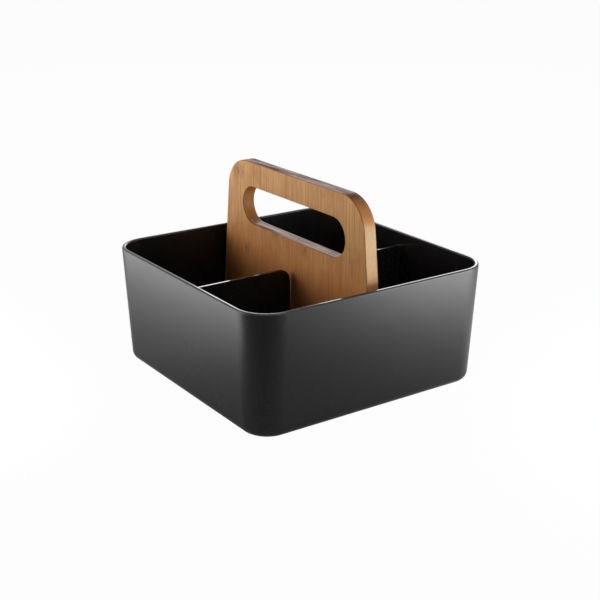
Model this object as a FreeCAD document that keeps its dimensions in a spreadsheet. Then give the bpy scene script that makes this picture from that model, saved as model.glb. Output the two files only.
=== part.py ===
"""Square table caddy: a moulded tray with two half dividers and a bamboo carrying board.

Everything is in millimetres. +Z is up, the origin is on the table under the middle of the tray.
The board stands across the tray along X. The dividers run along Y, one on each side of it.
"""
import FreeCAD, Part
import math
import os

import Sketcher
from FreeCAD import Vector

SHEET = "dims"

# One row for each size that can be set by itself: alias, value, what it is.
SIZES = [
    ("tray_side", 200.0, "outer side of the square tray, at the rim"),
    ("tray_height", 88.6, "height of the moulding, underside to rim"),
    ("rim_corner_radius", 24.0, "outer corner radius in plan, at the rim"),
    ("draft_angle", 2.9, "lean of every wall out of upright, degrees"),
    ("wall_thickness", 3.0, "tray wall, measured level"),
    ("floor_thickness", 3.0, "tray floor"),
    ("base_round", 6.0, "radius where the walls turn under the tray"),
    ("rim_bevel", 0.5, "bevel on both edges of the rim"),
    ("divider_drop", 10.4, "how far the dividers stay below the rim"),
    ("divider_thickness", 2.0, "divider at its top edge"),
    ("divider_draft", 0.4, "lean of each divider face, degrees"),
    ("divider_corner", 9.0, "radius of the divider's free top corner"),
    ("divider_bevel", 0.6, "bevel along the divider's edges"),
    ("divider_root", 2.4, "radius where a divider grows out of the wall and floor"),
    ("board_thickness", 10.0, "carrying board"),
    ("board_height", 141.5, "carrying board, foot to top edge"),
    ("board_top_inset", 17.0, "board's top corners, left square, in from the outside of the rim"),
    ("board_shoulder", 40.0, "height above its foot where the board leaves the walls"),
    ("board_shoulder_round", 60.0, "radius of that soft bend in the board's side"),
    ("board_corner", 25.0, "radius of the board's top corners"),
    ("board_foot_corner", 6.0, "radius of the board's bottom corners"),
    ("board_bevel", 0.7, "bevel around both faces of the board and its hand hole"),
    ("grip_length", 129.0, "hand hole, end to end"),
    ("grip_height", 28.6, "hand hole, top to bottom"),
    ("grip_band", 18.4, "wood left above the hand hole"),
    ("channel_height", 8.0, "ribs of the board's channel, above the floor"),
    ("channel_rib", 2.0, "thickness of those ribs"),
    ("channel_seat", 2.0, "raised strip between the ribs, under the board"),
    ("underside_recess", 0.6, "depth of the hollow under the floor"),
    ("recess_side", 126.0, "side of that square hollow"),
    ("recess_corner", 12.0, "corner radius of that hollow"),
    ("foot_diameter", 12.0, "soft foot"),
    ("foot_sink", 1.0, "how deep a foot is let into the underside"),
    ("foot_proud", 0.8, "how far a foot stands out of the underside"),
    ("foot_inset", 21.0, "middle of a foot to the outside of the tray's base"),
    ("screw_spacing", 110.0, "between the two screws"),
    ("screw_length", 30.0, "wood screw, over all"),
    ("screw_diameter", 4.0, "wood screw shank"),
    ("screw_head", 8.0, "countersunk head"),
    ("screw_land", 0.3, "upright edge of the countersunk head"),
    ("screw_tip", 4.0, "length of the screw's point"),
    ("drive_length", 4.4, "cross recess, end to end"),
    ("drive_width", 1.0, "cross recess, width of an arm"),
    ("drive_depth", 1.6, "cross recess, depth"),
    ("board_face_gap", 0.3, "clearance on each face of the board"),
    ("board_side_gap", 0.6, "clearance between the board's sides and the walls"),
    ("screw_fit", 0.05, "clearance around the screw shank, on the radius"),
    ("screw_room", 1.0, "hole left past the screw's point"),
    ("foot_fit", 0.2, "clearance around a foot, on the radius"),
    ("bite", 0.5, "how far a rib or divider reaches into the wall and floor it grows from"),
]

doc = FreeCAD.newDocument("caddy")
dims = doc.addObject("Spreadsheet::Sheet", SHEET)
for row, (alias, value, meaning) in enumerate(SIZES, start=1):
    dims.set("A%d" % row, meaning)
    dims.set("B%d" % row, str(value))
    dims.setAlias("B%d" % row, alias)
doc.recompute()

# Sizes worked out from the sheet, as formulas that sketches and features are bound to.
LEAN = "tan(dims.draft_angle)"
BASE_SIDE = "(dims.tray_side - 2 * dims.tray_height * %s)" % LEAN
BASE_CORNER = "(dims.rim_corner_radius - dims.tray_height * %s)" % LEAN
CAVITY_DEPTH = "(dims.tray_height - dims.floor_thickness)"
CAVITY_SIDE = "(dims.tray_side - 2 * dims.wall_thickness - 2 * %s * %s)" % (CAVITY_DEPTH, LEAN)
CAVITY_CORNER = "(dims.rim_corner_radius - dims.wall_thickness - %s * %s)" % (CAVITY_DEPTH, LEAN)
FLOOR_ROUND = "(dims.base_round - dims.wall_thickness)"
RIB_ROOT = "(dims.floor_thickness - dims.bite)"
DIVIDER_TOP = "(dims.tray_height - dims.divider_drop)"
DIVIDER_FREE = "(dims.board_thickness / 2 + dims.board_face_gap)"
DIVIDER_RISE = "(%s - dims.floor_thickness)" % DIVIDER_TOP
DIVIDER_FOOT = "(dims.divider_thickness + 2 * %s * tan(dims.divider_draft))" % DIVIDER_RISE
DIVIDER_EASE = "min(dims.divider_bevel; 0.4 * dims.divider_thickness)"
DIVIDER_ROOT = "min(dims.divider_root; 0.8 * %s)" % FLOOR_ROUND
BOARD_FOOT_Z = "(dims.floor_thickness + dims.channel_seat)"
BOARD_TOP_HALF = "(dims.tray_side / 2 - dims.board_top_inset)"
GRIP_MIDDLE = "(dims.board_height - dims.grip_band - dims.grip_height / 2)"
FOOT_OFFSET = "(%s / 2 - dims.foot_inset)" % BASE_SIDE
SCREW_SEAT = "(dims.foot_proud + dims.underside_recess)"
HEAD_DEPTH = "(dims.screw_land + (dims.screw_head - dims.screw_diameter) / 2)"


def inner_wall(height):
    """Formula for the distance from the middle to the inside of a wall, at a height in the tray."""
    return "(%s / 2 + (%s - dims.floor_thickness) * %s)" % (CAVITY_SIDE, height, LEAN)


def size(formula):
    """What a formula of sheet sizes comes to now."""
    value = doc.getObject(SHEET).evalExpression(formula.replace("dims.", ""))
    return float(getattr(value, "Value", value))


def new_body(name, x="0", y="0", z="0"):
    """A body with its own label, placed by three formulas."""
    body = doc.addObject("PartDesign::Body", name)
    body.Label = name
    body.setExpression("Placement.Base.x", x)
    body.setExpression("Placement.Base.y", y)
    body.setExpression("Placement.Base.z", z)
    return body


def plane(body, role):
    """One of a body's own origin planes or axes."""
    return next(item for item in body.Origin.OriginFeatures if item.Role == role)


def new_sketch(body, role, name, offset=None):
    """A sketch on an origin plane of its body, moved along the plane's normal by a formula."""
    sketch = body.newObject("Sketcher::SketchObject", name)
    sketch.AttachmentSupport = (plane(body, role), [""])
    sketch.MapMode = "FlatFace"
    if offset:
        sketch.setExpression("AttachmentOffset.Base.z", offset)
    return sketch


def bind(sketch, kind, *places, by, name):
    """A driving constraint that takes its value from a formula."""
    index = sketch.addConstraint(Sketcher.Constraint(kind, *places, size(by)))
    sketch.renameConstraint(index, name)
    sketch.setExpression("Constraints." + name, by)


def closed_run(sketch, points):
    """Straight lines from point to point and back to the first, joined at their ends."""
    ends = points[1:] + points[:1]
    lines = [sketch.addGeometry(Part.LineSegment(a, b), False) for a, b in zip(points, ends)]
    for line, following in zip(lines, lines[1:] + lines[:1]):
        sketch.addConstraint(Sketcher.Constraint("Coincident", line, 2, following, 1))
    return lines


def rounded_square(sketch, side, corner):
    """A square about the sketch's origin, with one radius on its four corners."""
    half = size(side) / 2
    radius = size(corner)
    flat = half - radius
    upward = Vector(0, 0, 1)
    lines = []
    arcs = []
    for turn in range(4):
        spin = FreeCAD.Rotation(upward, 90 * turn)
        start = spin.multVec(Vector(-flat, -half, 0))
        end = spin.multVec(Vector(flat, -half, 0))
        middle = spin.multVec(Vector(flat, -flat, 0))
        circle = Part.Circle(middle, upward, radius)
        first = math.radians(90 * turn - 90)
        lines.append(sketch.addGeometry(Part.LineSegment(start, end), False))
        arcs.append(sketch.addGeometry(Part.ArcOfCircle(circle, first, first + math.pi / 2), False))
    for turn in range(4):
        following = lines[(turn + 1) % 4]
        sketch.addConstraint(Sketcher.Constraint("Tangent", lines[turn], 2, arcs[turn], 1))
        sketch.addConstraint(Sketcher.Constraint("Tangent", arcs[turn], 2, following, 1))
    for line, way in zip(lines, ("Horizontal", "Vertical", "Horizontal", "Vertical")):
        sketch.addConstraint(Sketcher.Constraint(way, line))
    for arc in arcs[1:]:
        sketch.addConstraint(Sketcher.Constraint("Equal", arcs[0], arc))
    sketch.addConstraint(Sketcher.Constraint("Symmetric", arcs[0], 3, arcs[2], 3, -1, 1))
    bind(sketch, "Radius", arcs[0], by=corner, name="corner")
    bind(sketch, "DistanceX", lines[3], 1, lines[1], 1, by=side, name="width")
    bind(sketch, "DistanceY", lines[0], 1, lines[2], 1, by=side, name="depth")


def rectangle(sketch, width, low, high):
    """A rectangle across the sketch's upright axis, between two heights given by formulas."""
    half = size(width) / 2
    bottom = size(low)
    top = size(high)
    corners = [Vector(-half, bottom, 0), Vector(half, bottom, 0)]
    corners += [Vector(half, top, 0), Vector(-half, top, 0)]
    lines = closed_run(sketch, corners)
    for line, way in zip(lines[1:], ("Vertical", "Horizontal", "Vertical")):
        sketch.addConstraint(Sketcher.Constraint(way, line))
    sketch.addConstraint(Sketcher.Constraint("Symmetric", lines[0], 1, lines[0], 2, -2))
    bind(sketch, "DistanceX", lines[0], 1, lines[0], 2, by=width, name="width")
    bind(sketch, "DistanceY", -1, 1, lines[0], 1, by=low, name="low")
    bind(sketch, "DistanceY", -1, 1, lines[2], 1, by=high, name="high")


def circle_at(sketch, x, y, diameter, name):
    """A circle whose middle and diameter are bound to formulas."""
    middle = Vector(size(x), size(y), 0)
    circle = sketch.addGeometry(Part.Circle(middle, Vector(0, 0, 1), size(diameter) / 2), False)
    bind(sketch, "Diameter", circle, by=diameter, name=name + "_diameter")
    if size(x) == 0:
        sketch.addConstraint(Sketcher.Constraint("PointOnObject", circle, 3, -2))
    else:
        bind(sketch, "DistanceX", -1, 1, circle, 3, by=x, name=name + "_x")
    if size(y) == 0:
        sketch.addConstraint(Sketcher.Constraint("PointOnObject", circle, 3, -1))
    else:
        bind(sketch, "DistanceY", -1, 1, circle, 3, by=y, name=name + "_y")


def pad(body, sketch, name, length, middle=False, taper=None):
    """Material raised from a sketch, to both sides of it or leaning outward by an angle."""
    feature = body.newObject("PartDesign::Pad", name)
    feature.Profile = sketch
    feature.setExpression("Length", length)
    feature.SideType = "Symmetric" if middle else "One side"
    if taper:
        feature.setExpression("TaperAngle", taper)
    doc.recompute()
    return feature


def pocket(body, sketch, name, length, upward=False, middle=False, taper=None):
    """Material cut away from a sketch. The cut has to make the body lighter."""
    before = body.Shape.Volume
    feature = body.newObject("PartDesign::Pocket", name)
    feature.Profile = sketch
    feature.setExpression("Length", length)
    feature.Reversed = upward
    feature.SideType = "Symmetric" if middle else "One side"
    if taper:
        feature.setExpression("TaperAngle", taper)
    doc.recompute()
    if body.Shape.Volume >= before:
        raise RuntimeError(name + " cuts nothing")
    return feature


def dress_edges(body, kind, measure, name, amount, wanted):
    """One feature on every edge of the body's last feature that the test picks out."""
    base = body.Tip
    edges = base.Shape.Edges
    names = ["Edge%d" % (index + 1) for index, edge in enumerate(edges) if wanted(edge)]
    if not names:
        raise RuntimeError(name + " finds no edge")
    feature = body.newObject(kind, name)
    feature.Base = (base, names)
    feature.setExpression(measure, amount)
    doc.recompute()


def round_edges(body, name, radius, wanted):
    """A fillet on the edges that the test picks out."""
    dress_edges(body, "PartDesign::Fillet", "Radius", name, radius, wanted)


def bevel_edges(body, name, width, wanted):
    """A bevel at 45 degrees on the edges that the test picks out."""
    dress_edges(body, "PartDesign::Chamfer", "Size", name, width, wanted)


def heights(edge):
    """Lowest and highest point of an edge."""
    box = edge.BoundBox
    return box.ZMin, box.ZMax


def level_at(edge, height, near=1e-4):
    """True for an edge that lies level at a height."""
    low, high = heights(edge)
    return abs(low - height) < near and abs(high - height) < near


def make_tray():
    """The moulding: leaning walls, floor, two half dividers, board channel and underside."""
    body = new_body("tray", z="dims.foot_proud")

    base = new_sketch(body, "XY_Plane", "base_outline")
    rounded_square(base, BASE_SIDE, BASE_CORNER)
    pad(body, base, "tray_block", "dims.tray_height", taper="dims.draft_angle")
    round_edges(body, "under_edge", "dims.base_round", lambda edge: level_at(edge, 0))

    cavity = new_sketch(body, "XY_Plane", "cavity_outline", offset="dims.floor_thickness")
    rounded_square(cavity, CAVITY_SIDE, CAVITY_CORNER)
    pocket(body, cavity, "cavity", CAVITY_DEPTH, upward=True, taper="dims.draft_angle")
    floor = size("dims.floor_thickness")
    round_edges(body, "floor_edge", FLOOR_ROUND, lambda edge: level_at(edge, floor))
    rim = size("dims.tray_height")
    bevel_edges(body, "rim_edge", "dims.rim_bevel", lambda edge: level_at(edge, rim))

    add_dividers(body)
    add_channel(body)
    round_dividers(body)
    cut_underside(body)
    return body


def add_dividers(body):
    """One upright divider, thinner at its top, then its mirror image across the board."""
    wedge = body.newObject("PartDesign::AdditiveWedge", "front_divider")
    wedge.AttachmentSupport = (plane(body, "XZ_Plane"), [""])
    wedge.MapMode = "FlatFace"
    spans = {
        "Xmin": "-%s / 2" % DIVIDER_FOOT,
        "Xmax": "%s / 2" % DIVIDER_FOOT,
        "X2min": "-dims.divider_thickness / 2",
        "X2max": "dims.divider_thickness / 2",
        "Ymin": RIB_ROOT,
        "Ymax": DIVIDER_TOP,
        "Zmin": DIVIDER_FREE,
        "Zmax": inner_wall(RIB_ROOT) + " + dims.bite",
        "Z2min": DIVIDER_FREE,
        "Z2max": inner_wall(DIVIDER_TOP) + " + dims.bite",
    }
    for side, formula in spans.items():
        wedge.setExpression(side, formula)
    doc.recompute()
    mirrored = body.newObject("PartDesign::Mirrored", "back_divider")
    mirrored.Originals = [wedge]
    mirrored.MirrorPlane = (plane(body, "XZ_Plane"), [""])
    body.Tip = mirrored
    doc.recompute()


def round_dividers(body):
    """Shapes the dividers' free corners and edges, and their roots in the walls and floor."""
    crest = size(DIVIDER_TOP)
    free = size(DIVIDER_FREE)
    foot = size(DIVIDER_FOOT) / 2
    near = 1e-3

    def free_corner(edge):
        box = edge.BoundBox
        return level_at(edge, crest) and box.YLength < near and abs(abs(box.YMin) - free) < near

    round_edges(body, "divider_corners", "dims.divider_corner", free_corner)
    rib_top = size("dims.floor_thickness + dims.channel_height")
    corner = size("dims.divider_corner")

    def outer_edge(edge):
        box = edge.BoundBox
        beside = 0 < min(abs(box.XMin), abs(box.XMax)) and max(abs(box.XMin), abs(box.XMax)) < foot
        along_crest = level_at(edge, crest)
        low, high = heights(edge)
        by_board = max(abs(box.YMin), abs(box.YMax)) < free + corner + near and high > rib_top + near
        return beside and box.XMin * box.XMax > 0 and (along_crest or by_board)

    bevel_edges(body, "divider_edges", DIVIDER_EASE, outer_edge)
    wall_foot = size(inner_wall("dims.floor_thickness"))
    half_rise = size(DIVIDER_RISE) / 2

    def root_edge(edge):
        box = edge.BoundBox
        beside = max(abs(box.XMin), abs(box.XMax)) < foot
        on_wall = min(abs(box.YMin), abs(box.YMax)) > wall_foot
        return beside and on_wall and box.ZLength > half_rise

    round_edges(body, "divider_roots", DIVIDER_ROOT, root_edge)


def add_channel(body):
    """The channel that the board stands in: two low ribs and a raised seat, wall to wall."""
    section = new_sketch(body, "YZ_Plane", "channel_section")
    inner = size(DIVIDER_FREE)
    outer = inner + size("dims.channel_rib")
    bottom = size(RIB_ROOT)
    seat = size(BOARD_FOOT_Z)
    top = size("dims.floor_thickness + dims.channel_height")
    half = [Vector(outer, bottom, 0), Vector(outer, top, 0)]
    half += [Vector(inner, top, 0), Vector(inner, seat, 0)]
    other = [Vector(-point.x, point.y, 0) for point in reversed(half)]
    lines = closed_run(section, half + other)
    for line in (lines[0], lines[2], lines[4], lines[6]):
        section.addConstraint(Sketcher.Constraint("Vertical", line))
    for line in (lines[1], lines[5]):
        section.addConstraint(Sketcher.Constraint("Horizontal", line))
    section.addConstraint(Sketcher.Constraint("Symmetric", lines[7], 1, lines[7], 2, -2))
    section.addConstraint(Sketcher.Constraint("Symmetric", lines[3], 1, lines[3], 2, -2))
    section.addConstraint(Sketcher.Constraint("Equal", lines[0], lines[6]))
    bind(section, "DistanceX", -1, 1, lines[2], 1, by=DIVIDER_FREE, name="slot")
    bind(section, "DistanceX", lines[1], 2, lines[1], 1, by="dims.channel_rib", name="rib")
    bind(section, "DistanceY", -1, 1, lines[0], 1, by=RIB_ROOT, name="low")
    bind(section, "DistanceY", -1, 1, lines[2], 2, by=BOARD_FOOT_Z, name="seat")
    rise = "dims.floor_thickness + dims.channel_height"
    bind(section, "DistanceY", -1, 1, lines[0], 2, by=rise, name="high")
    length = "2 * (%s + dims.bite)" % inner_wall(RIB_ROOT)
    pad(body, section, "board_channel", length, middle=True)


def cut_underside(body):
    """The hollow under the floor, the seats of the feet and the two screw holes."""
    hollow = new_sketch(body, "XY_Plane", "underside_outline")
    rounded_square(hollow, "dims.recess_side", "dims.recess_corner")
    pocket(body, hollow, "underside_hollow", "dims.underside_recess", upward=True)

    seat = new_sketch(body, "XY_Plane", "foot_seat_outline")
    circle_at(seat, FOOT_OFFSET, FOOT_OFFSET, "dims.foot_diameter + 2 * dims.foot_fit", "seat")
    first = pocket(body, seat, "foot_seat", "dims.foot_sink", upward=True)
    pattern = body.newObject("PartDesign::PolarPattern", "foot_seats")
    pattern.Originals = [first]
    pattern.Axis = (plane(body, "Z_Axis"), [""])
    pattern.Angle = 360
    pattern.Occurrences = 4
    body.Tip = pattern
    doc.recompute()

    centres = new_sketch(body, "XY_Plane", "screw_centres", offset="dims.underside_recess")
    for side, name in ((1, "right"), (-1, "left")):
        across = "%d * dims.screw_spacing / 2" % side
        circle_at(centres, across, "0", "dims.screw_diameter + 2 * dims.screw_fit", name)
    doc.recompute()
    before = body.Shape.Volume
    hole = body.newObject("PartDesign::Hole", "screw_holes")
    hole.Profile = centres
    hole.Reversed = True
    hole.DepthType = "ThroughAll"
    hole.setExpression("Diameter", "dims.screw_diameter + 2 * dims.screw_fit")
    hole.HoleCutType = "Countersink"
    hole.setExpression("HoleCutDiameter", "dims.screw_head + 2 * dims.screw_land")
    hole.HoleCutCountersinkAngle = 90
    doc.recompute()
    if body.Shape.Volume >= before:
        raise RuntimeError("screw_holes cuts nothing")


def make_board():
    """The bamboo board: straight flanks that follow the walls, then lean in to a rounded top."""
    body = new_body("handle_board", z="dims.foot_proud + " + BOARD_FOOT_Z)
    outline = new_sketch(body, "XZ_Plane", "board_outline")
    foot_half = "(%s - dims.board_side_gap)" % inner_wall(BOARD_FOOT_Z)
    shoulder_z = "(%s + dims.board_shoulder)" % BOARD_FOOT_Z
    shoulder_half = "(%s - dims.board_side_gap)" % inner_wall(shoulder_z)
    widths = [size(foot_half), size(shoulder_half), size(BOARD_TOP_HALF)]
    levels = [0, size("dims.board_shoulder"), size("dims.board_height")]
    right = [Vector(x, z, 0) for x, z in zip(widths, levels)]
    left = [Vector(-point.x, point.y, 0) for point in reversed(right)]
    lines = closed_run(outline, right + left)
    foot_line = lines[5]
    outline.addConstraint(Sketcher.Constraint("Symmetric", foot_line, 1, foot_line, 2, -2))
    outline.addConstraint(Sketcher.Constraint("Symmetric", lines[0], 2, lines[3], 2, -2))
    outline.addConstraint(Sketcher.Constraint("Symmetric", lines[2], 1, lines[2], 2, -2))
    outline.addConstraint(Sketcher.Constraint("PointOnObject", lines[0], 1, -1))
    bind(outline, "DistanceX", -1, 1, lines[0], 1, by=foot_half, name="foot_half")
    bind(outline, "DistanceX", -1, 1, lines[0], 2, by=shoulder_half, name="shoulder_half")
    bind(outline, "DistanceY", -1, 1, lines[0], 2, by="dims.board_shoulder", name="shoulder")
    bind(outline, "DistanceX", -1, 1, lines[2], 1, by=BOARD_TOP_HALF, name="top_half")
    bind(outline, "DistanceY", -1, 1, lines[2], 1, by="dims.board_height", name="board_top")
    pad(body, outline, "board_blank", "dims.board_thickness", middle=True)

    def across_at(height):
        return lambda edge: level_at(edge, height) and edge.BoundBox.XLength < 1e-4

    round_edges(body, "top_corners", "dims.board_corner", across_at(levels[2]))
    round_edges(body, "shoulders", "dims.board_shoulder_round", across_at(levels[1]))
    round_edges(body, "foot_corners", "dims.board_foot_corner", across_at(levels[0]))

    grip = new_sketch(body, "XZ_Plane", "grip_outline")
    middle = size(GRIP_MIDDLE)
    radius = size("dims.grip_height / 2")
    reach = size("dims.grip_length / 2") - radius
    low = grip.addGeometry(Part.LineSegment(Vector(-reach, middle - radius, 0),
                                            Vector(reach, middle - radius, 0)), False)
    high = grip.addGeometry(Part.LineSegment(Vector(reach, middle + radius, 0),
                                             Vector(-reach, middle + radius, 0)), False)
    upward = Vector(0, 0, 1)
    right_circle = Part.Circle(Vector(reach, middle, 0), upward, radius)
    left_circle = Part.Circle(Vector(-reach, middle, 0), upward, radius)
    quarter = math.pi / 2
    right_end = grip.addGeometry(Part.ArcOfCircle(right_circle, -quarter, quarter), False)
    left_end = grip.addGeometry(Part.ArcOfCircle(left_circle, quarter, 3 * quarter), False)
    run = (low, right_end, high, left_end)
    for part, following in zip(run, run[1:] + run[:1]):
        grip.addConstraint(Sketcher.Constraint("Tangent", part, 2, following, 1))
    grip.addConstraint(Sketcher.Constraint("Horizontal", low))
    grip.addConstraint(Sketcher.Constraint("Symmetric", right_end, 3, left_end, 3, -2))
    bind(grip, "Radius", right_end, by="dims.grip_height / 2", name="grip_radius")
    bind(grip, "DistanceY", -1, 1, right_end, 3, by=GRIP_MIDDLE, name="grip_middle")
    half_run = "(dims.grip_length - dims.grip_height) / 2"
    bind(grip, "DistanceX", -1, 1, right_end, 3, by=half_run, name="grip_reach")
    pocket(body, grip, "hand_hole", "2 * dims.board_thickness", middle=True)

    face = size("dims.board_thickness / 2")

    def on_a_face(edge):
        box = edge.BoundBox
        return box.YLength < 1e-4 and abs(abs(box.YMin) - face) < 1e-4

    bevel_edges(body, "eased_edges", "dims.board_bevel", on_a_face)

    bores = new_sketch(body, "XY_Plane", "screw_bores")
    for side, name in ((1, "right"), (-1, "left")):
        across = "%d * dims.screw_spacing / 2" % side
        circle_at(bores, across, "0", "dims.screw_diameter + 2 * dims.screw_fit", name)
    under_board = "(%s - dims.underside_recess)" % BOARD_FOOT_Z
    bore_depth = "dims.screw_length + dims.screw_room - " + under_board
    pocket(body, bores, "screw_bore", bore_depth, upward=True)
    return body


def make_screw(name, side):
    """A countersunk wood screw, point up, turned from one half section and given a cross recess."""
    body = new_body(name, x="%d * dims.screw_spacing / 2" % side, z=SCREW_SEAT)
    section = new_sketch(body, "XZ_Plane", name + "_section")
    head = size("dims.screw_head / 2")
    shank = size("dims.screw_diameter / 2")
    land = size("dims.screw_land")
    neck = size(HEAD_DEPTH)
    length = size("dims.screw_length")
    shoulder = length - size("dims.screw_tip")
    points = [Vector(0, 0, 0), Vector(head, 0, 0), Vector(head, land, 0), Vector(shank, neck, 0)]
    points += [Vector(shank, shoulder, 0), Vector(0, length, 0)]
    lines = closed_run(section, points)
    section.addConstraint(Sketcher.Constraint("Coincident", lines[0], 1, -1, 1))
    section.addConstraint(Sketcher.Constraint("Horizontal", lines[0]))
    section.addConstraint(Sketcher.Constraint("Vertical", lines[1]))
    section.addConstraint(Sketcher.Constraint("Vertical", lines[3]))
    section.addConstraint(Sketcher.Constraint("Vertical", lines[5]))
    bind(section, "DistanceX", -1, 1, lines[1], 1, by="dims.screw_head / 2", name="head")
    bind(section, "DistanceX", -1, 1, lines[3], 1, by="dims.screw_diameter / 2", name="shank")
    bind(section, "DistanceY", -1, 1, lines[1], 2, by="dims.screw_land", name="land")
    bind(section, "DistanceY", -1, 1, lines[3], 1, by=HEAD_DEPTH, name="neck")
    shank_end = "dims.screw_length - dims.screw_tip"
    bind(section, "DistanceY", -1, 1, lines[3], 2, by=shank_end, name="shank_end")
    bind(section, "DistanceY", -1, 1, lines[5], 1, by="dims.screw_length", name="point")
    turned = body.newObject("PartDesign::Revolution", name + "_turned")
    turned.Profile = section
    turned.ReferenceAxis = (section, ["V_Axis"])
    turned.Angle = 360
    doc.recompute()

    for arm, across, along in (("wide", "dims.drive_length", "dims.drive_width"),
                               ("deep", "dims.drive_width", "dims.drive_length")):
        slot = new_sketch(body, "XY_Plane", name + "_" + arm + "_arm")
        rectangle(slot, across, "-%s / 2" % along, "%s / 2" % along)
        pocket(body, slot, name + "_" + arm + "_slot", "dims.drive_depth", upward=True)
    return body


def make_foot(name, x_side, y_side):
    """A soft round foot, let into the underside."""
    across = "%d * " % x_side + FOOT_OFFSET
    along = "%d * " % y_side + FOOT_OFFSET
    body = new_body(name, x=across, y=along)
    disc = new_sketch(body, "XY_Plane", name + "_outline")
    circle_at(disc, "0", "0", "dims.foot_diameter", "disc")
    pad(body, disc, name + "_disc", "dims.foot_sink + dims.foot_proud")
    return body


bodies = [make_tray(), make_board()]
bodies.append(make_screw("handle_screw_left", -1))
bodies.append(make_screw("handle_screw_right", 1))
for y_side, y_name in ((-1, "front"), (1, "back")):
    for x_side, x_name in ((-1, "left"), (1, "right")):
        bodies.append(make_foot("foot_%s_%s" % (y_name, x_name), x_side, y_side))
doc.recompute()

for item in doc.Objects:
    if "Invalid" in item.State or "Error" in item.State:
        raise RuntimeError("%s did not build: %s" % (item.Name, item.State))
for body in bodies:
    if body.Shape.isNull() or not body.Shape.isValid() or len(body.Shape.Solids) != 1:
        raise RuntimeError("%s is not one sound solid" % body.Label)

os.makedirs("parts", exist_ok=True)
for body in bodies:
    body.Shape.exportStep("parts/%s.step" % body.Label)
    box = body.Shape.optimalBoundingBox()
    print("%-20s %9.1f mm3  z %6.2f to %6.2f" % (body.Label, body.Shape.Volume, box.ZMin, box.ZMax))
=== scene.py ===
"""Square table caddy: a moulded black tray, a bamboo carrying board, its screws and soft feet."""

import math
from functools import partial

import bmesh
import bpy
from mathutils import Matrix, Vector
from mathutils.geometry import tessellate_polygon


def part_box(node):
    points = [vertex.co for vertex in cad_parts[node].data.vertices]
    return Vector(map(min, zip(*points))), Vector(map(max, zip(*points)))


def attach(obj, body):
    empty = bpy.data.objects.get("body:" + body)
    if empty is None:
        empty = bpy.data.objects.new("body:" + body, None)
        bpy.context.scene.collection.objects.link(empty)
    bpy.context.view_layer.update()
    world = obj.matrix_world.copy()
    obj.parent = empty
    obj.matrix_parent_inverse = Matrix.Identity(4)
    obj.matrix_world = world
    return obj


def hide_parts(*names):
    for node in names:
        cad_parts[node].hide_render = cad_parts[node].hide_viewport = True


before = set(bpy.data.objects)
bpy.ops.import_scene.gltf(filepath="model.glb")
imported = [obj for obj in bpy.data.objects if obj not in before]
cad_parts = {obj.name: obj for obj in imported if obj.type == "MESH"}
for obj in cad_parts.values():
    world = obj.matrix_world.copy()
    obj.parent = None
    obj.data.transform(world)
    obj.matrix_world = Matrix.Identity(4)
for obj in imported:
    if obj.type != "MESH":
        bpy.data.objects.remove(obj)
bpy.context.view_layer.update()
scene = bpy.context.scene

MM = 0.001
QUARTER_TURN = math.pi / 2

# The moulding's levels and leans.
FOOT_PROUD = 0.8 * MM
TRAY_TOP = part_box("tray")[1][2]
RIM_HALF = 100.0 * MM
WALL_LEAN = math.tan(math.radians(2.9))
WALL = 3.0 * MM
TRAY_FLOOR = 3.0 * MM
INNER_FLOOR = FOOT_PROUD + TRAY_FLOOR
DIVIDER_DROP = 10.4 * MM
HOLLOW_DEPTH = 0.6 * MM

# The carrying board, and the band of it that stands above its hand hole.
BOARD_LOW, BOARD_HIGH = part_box("handle_board")
BOARD_THICK = BOARD_HIGH[1] - BOARD_LOW[1]
BOARD_SIDE_GAP = 0.6 * MM
BOARD_SHOULDER = 40.0 * MM
BOARD_TOP_HALF = 83.0 * MM
BOARD_EASE = 0.7 * MM
BOARD_FOOT_CORNER = 6.0 * MM
BOARD_SHOULDER_CORNER = 60.0 * MM
BOARD_TOP_CORNER = 25.0 * MM
GRIP_LENGTH = 129.0 * MM
GRIP_HEIGHT = 28.6 * MM
GRIP_BAND = 18.4 * MM

# The hand hole's ends are a hair short of half circles, so that their corners don't meet.
GRIP_ROUNDNESS = 0.9999

# The laminated sheet, in millimetres: strips side by side, layers front to back, the run between
# knuckles, and the number of the strip that the middle of the board was cut from.
STRIP_WIDTH = 7.6
LAYER_THICK = 3.4
KNUCKLE_PITCH = 118.0
MIDDLE_STRIP = 2884

# Screws and feet.
SCREW_X = 55.0 * MM
SCREW_HEAD = 4.0 * MM
SCREW_SHANK = 2.0 * MM
FOOT_OFFSET = 74.51 * MM

# How far the shapes of the moulding run into each other before they are fused.
BITE = 0.5 * MM

# How round the small holes are, and how sharp an edge has to be before its shading breaks.
HOLE_SIDES = 48
SHARP_ANGLE = math.radians(35)

# What the white room gives to the surfaces that don't mirror it.
ROOM_FILL = 0.04

FOOT_SIZES = {
    "Radius": 6.0 * MM,
    "Thickness": 1.8 * MM,
    "Ease": 0.4 * MM,
    "Offset": FOOT_OFFSET,
}

SCREW_SIZES = {
    "Head": SCREW_HEAD,
    "Head Round": 0.12 * MM,
    "Land": 0.3 * MM,
    "Shank": SCREW_SHANK,
    "Core": 1.5 * MM,
    "Plain Shank": 8.0 * MM,
    "Length": 30.0 * MM,
    "Tip": 4.0 * MM,
    "Turns": 11.0,
    "Drive Length": 4.4 * MM,
    "Drive Width": 1.0 * MM,
    "Drive Depth": 1.6 * MM,
    "Offset": SCREW_X,
    "Seat": FOOT_PROUD + HOLLOW_DEPTH,
}

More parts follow.
